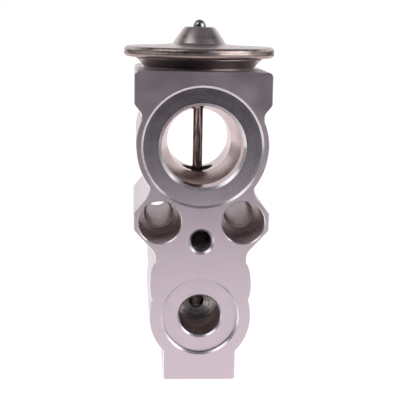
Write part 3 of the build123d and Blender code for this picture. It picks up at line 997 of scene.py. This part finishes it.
class VALVE_OT_studio(bpy.types.Operator):
    """White table, room, lamps and camera"""

    bl_idname = "valve.studio"
    bl_label = "Set Up Studio"

    def execute(self, context):
        settings = context.scene.valve_studio
        self.floor(settings)
        self.room(context, settings)
        self.lamps()
        self.camera(context, settings)
        context.scene.view_settings.view_transform = "Standard"
        return {"FINISHED"}

    def floor(self, settings):
        bm = bmesh.new()
        reach = 3.0
        bmesh.ops.create_grid(bm, x_segments=8, y_segments=8, size=reach)
        bmesh.ops.scale(bm, verts=bm.verts, vec=(settings.table_width / reach / 2, 1, 1))
        bmesh.ops.translate(bm, verts=bm.verts, vec=(0, reach - settings.table_front, 0))
        mesh = bpy.data.meshes.new("floor")
        bm.to_mesh(mesh)
        bm.free()
        material = bpy.data.materials.new("white_floor")
        material.use_nodes = True
        tree = material.node_tree
        tree.nodes.clear()
        leave = tree.nodes.new("ShaderNodeOutputMaterial")
        diffuse = tree.nodes.new("ShaderNodeBsdfDiffuse")
        diffuse.inputs["Color"].default_value = (0.45, 0.45, 0.45, 1)
        place = tree.nodes.new("ShaderNodeTexCoord")
        away = tree.nodes.new("ShaderNodeVectorMath")
        away.operation = "LENGTH"
        tree.links.new(place.outputs["Object"], away.inputs[0])
        glow = tree.nodes.new("ShaderNodeEmission")
        glow.inputs["Color"].default_value = (1.02, 1.0, 0.985, 1)
        near, far = 0.1, 0.6
        near_glow, far_glow = 0.90, 1.04
        strength = ramp_node(tree, away.outputs["Value"], near, far, near_glow, far_glow)
        tree.links.new(strength, glow.inputs["Strength"])
        path = tree.nodes.new("ShaderNodeLightPath")
        seen = math_node(tree, "MAXIMUM", path.outputs["Is Camera Ray"], path.outputs["Is Glossy Ray"])
        seen = math_node(tree, "MAXIMUM", seen, path.outputs["Is Transmission Ray"])
        add = tree.nodes.new("ShaderNodeAddShader")
        tree.links.new(diffuse.outputs[0], add.inputs[0])
        tree.links.new(glow.outputs[0], add.inputs[1])
        mix_shaders(tree, seen, diffuse, add, leave)
        mesh.materials.append(material)
        floor = bpy.data.objects.new("floor", mesh)
        bpy.context.scene.collection.objects.link(floor)

    def room(self, context, settings):
        world = bpy.data.worlds.new("studio_room")
        context.scene.world = world
        world.use_nodes = True
        tree = world.node_tree
        tree.nodes.clear()
        leave = tree.nodes.new("ShaderNodeOutputWorld")
        place = tree.nodes.new("ShaderNodeTexCoord")
        split = tree.nodes.new("ShaderNodeSeparateXYZ")
        tree.links.new(place.outputs["Generated"], split.inputs["Vector"])
        upward = split.outputs["Z"]
        # The backdrop is lit from just above the table and fades toward the ceiling
        raised = ramp_node(tree, upward, 0.04, 0.22)
        behind = math_node(tree, "MULTIPLY", ramp_node(tree, split.outputs["Y"], 0.05, 0.65), raised)
        behind = math_node(tree, "MAXIMUM", behind, ramp_node(tree, split.outputs["Y"], 0.80, 0.94))
        lit = math_node(tree, "MULTIPLY", behind, ramp_node(tree, upward, 0.35, 0.75, 1.0, 0.15))
        backdrop = ramp_node(tree, lit, 0.0, 1.0, settings.dark_room, settings.room_light)
        # The side walls and the ceiling are dim
        aside = math_node(tree, "ABSOLUTE", split.outputs["X"])
        walls = ramp_node(tree, aside, 0.80, 0.98, 0.0, settings.side_light)
        strength = math_node(tree, "MAXIMUM", backdrop, walls)
        ceiling = ramp_node(tree, upward, 0.55, 0.85, 0.0, settings.ceiling_light)
        strength = math_node(tree, "MAXIMUM", strength, ceiling)
        room = tree.nodes.new("ShaderNodeBackground")
        tree.links.new(strength, room.inputs["Strength"])
        # Dark parts of the room lean to blue
        shade = tree.nodes.new("ShaderNodeMix")
        shade.data_type = "RGBA"
        shade.inputs["A"].default_value = (0.90, 0.90, 1.12, 1)
        shade.inputs["B"].default_value = (1, 1, 1, 1)
        tree.links.new(ramp_node(tree, strength, 0.05, 0.3), shade.inputs["Factor"])
        tree.links.new(shade.outputs["Result"], room.inputs["Color"])
        white = tree.nodes.new("ShaderNodeBackground")
        white.inputs["Color"].default_value = (1, 1, 1, 1)
        # The camera sees a clean white backdrop, and mirrors do where it is lit
        path = tree.nodes.new("ShaderNodeLightPath")
        mirrored = math_node(
            tree, "MULTIPLY", path.outputs["Is Glossy Ray"], math_node(tree, "POWER", lit, 3.0)
        )
        seen = math_node(tree, "MAXIMUM", path.outputs["Is Camera Ray"], mirrored)
        seen = math_node(tree, "MAXIMUM", seen, path.outputs["Is Transmission Ray"])
        mix_shaders(tree, seen, room, white, leave)

    def lamps(self):
        target = Vector((0, 0, 0.045))
        for name, place, size, power in (
            ("left_lamp", (-0.367, -0.212, 0.470), 0.36, 0.5),
            ("right_lamp", (0.438, -0.342, 0.270), 0.55, 1.7),
        ):
            light = bpy.data.lights.new(name, "AREA")
            light.size = size
            light.energy = power
            lamp = bpy.data.objects.new(name, light)
            lamp.location = place
            aim = target - Vector(place)
            lamp.rotation_euler = aim.to_track_quat("-Z", "Y").to_euler()
            bpy.context.scene.collection.objects.link(lamp)

    def camera(self, context, settings):
        pitch, yaw, roll = settings.pitch, settings.yaw, settings.roll
        forward = Vector(
            (math.sin(yaw) * math.cos(pitch), math.cos(yaw) * math.cos(pitch), -math.sin(pitch))
        )
        right = Vector((math.cos(yaw), -math.sin(yaw), 0))
        up = Vector(
            (math.sin(yaw) * math.sin(pitch), math.cos(yaw) * math.sin(pitch), math.cos(pitch))
        )
        side = math.cos(roll) * right + math.sin(roll) * up
        top = math.cos(roll) * up - math.sin(roll) * right
        turn = Matrix((side, top, -forward)).transposed()
        data = bpy.data.cameras.new("camera")
        data.lens = settings.lens
        data.sensor_width = 36.0
        data.clip_start = 0.01
        camera = bpy.data.objects.new("camera", data)
        camera.matrix_world = Matrix.Translation(Vector(settings.camera_place)) @ turn.to_4x4()
        context.scene.collection.objects.link(camera)
        context.scene.camera = camera


class VALVE_PT_panel(bpy.types.Panel):
    """Lists the steps that dress the valve"""

    bl_idname = "VALVE_PT_panel"
    bl_label = "Expansion Valve"
    bl_space_type = "VIEW_3D"
    bl_region_type = "UI"
    bl_category = "Valve"

    def draw(self, context):
        layout = self.layout
        for name in STEPS:
            layout.operator("valve." + name)
        for name in SETTINGS:
            group = getattr(context.scene, name)
            box = layout.box()
            for prop in group.bl_rna.properties:
                if prop.identifier not in ("rna_type", "name"):
                    box.prop(group, prop.identifier)


STEPS = ("block", "thread", "head", "inside", "studio")
SETTINGS = {
    "valve_block": ValveBlockSettings,
    "valve_head": ValveHeadSettings,
    "valve_inside": ValveInsideSettings,
    "valve_studio": ValveStudioSettings,
}
CLASSES = (
    ValveBlockSettings,
    ValveHeadSettings,
    ValveInsideSettings,
    ValveStudioSettings,
    VALVE_OT_block,
    VALVE_OT_thread,
    VALVE_OT_head,
    VALVE_OT_inside,
    VALVE_OT_studio,
    VALVE_PT_panel,
)


def register():
    for cls in CLASSES:
        bpy.utils.register_class(cls)
    for name, cls in SETTINGS.items():
        setattr(bpy.types.Scene, name, PointerProperty(type=cls))


def unregister():
    for name in SETTINGS:
        delattr(bpy.types.Scene, name)
    for cls in reversed(CLASSES):
        bpy.utils.unregister_class(cls)


def main():
    register()
    GROUPS["satin_grain"] = make_grain_group()
    GROUPS["turning_marks"] = make_turning_group()
    GROUPS["drawing_lines"] = make_draw_group()
    GROUPS["heat_tint"] = make_heat_group()
    for name in STEPS:
        getattr(bpy.ops.valve, name)()


if __name__ == "__main__":
    main()
